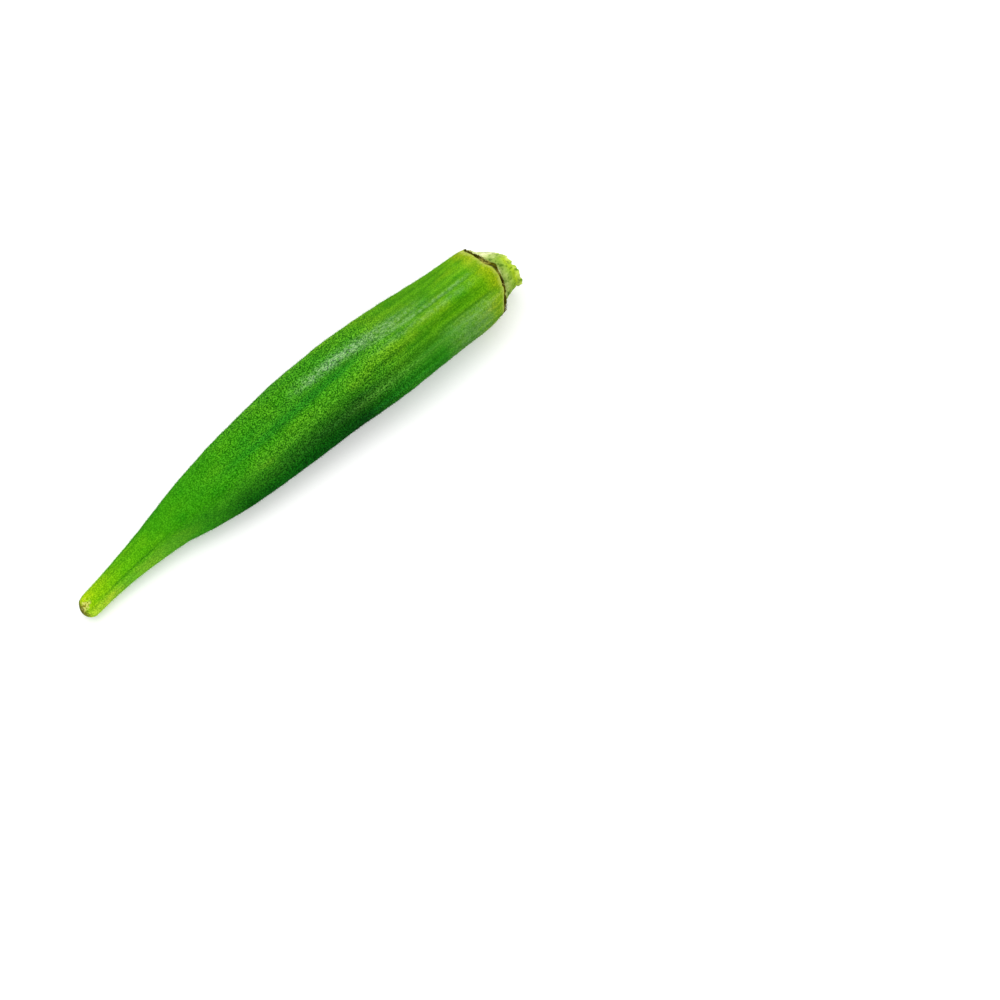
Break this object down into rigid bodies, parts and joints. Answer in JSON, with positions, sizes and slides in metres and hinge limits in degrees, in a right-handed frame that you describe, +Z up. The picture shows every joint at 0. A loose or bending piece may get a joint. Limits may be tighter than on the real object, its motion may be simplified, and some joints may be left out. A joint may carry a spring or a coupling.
{
  "type": "okra pod",
  "caption": "Long ridged green seed pod that narrows to a blunt beak, with a short pale cap of cut stem on its broad end, lying on its side.",
  "frame": {"origin": "middle of the whole pod's footprint, on the surface that it lies on", "axes": "+X along the pod from the beak's tip to the cut stem; +Z up from that surface; both ends bend towards -Y"},
  "size_m": [0.1264, 0.0206, 0.0193],
  "materials": {
    "pod_skin": "fine hairs over a faintly waxy skin",
    "stem_tissue": "matte, torn at the cut"
  },
  "bodies": {
    "root": {"pod": "pod_skin", "stem_cap": "stem_tissue"}
  },
  "joints": []
}
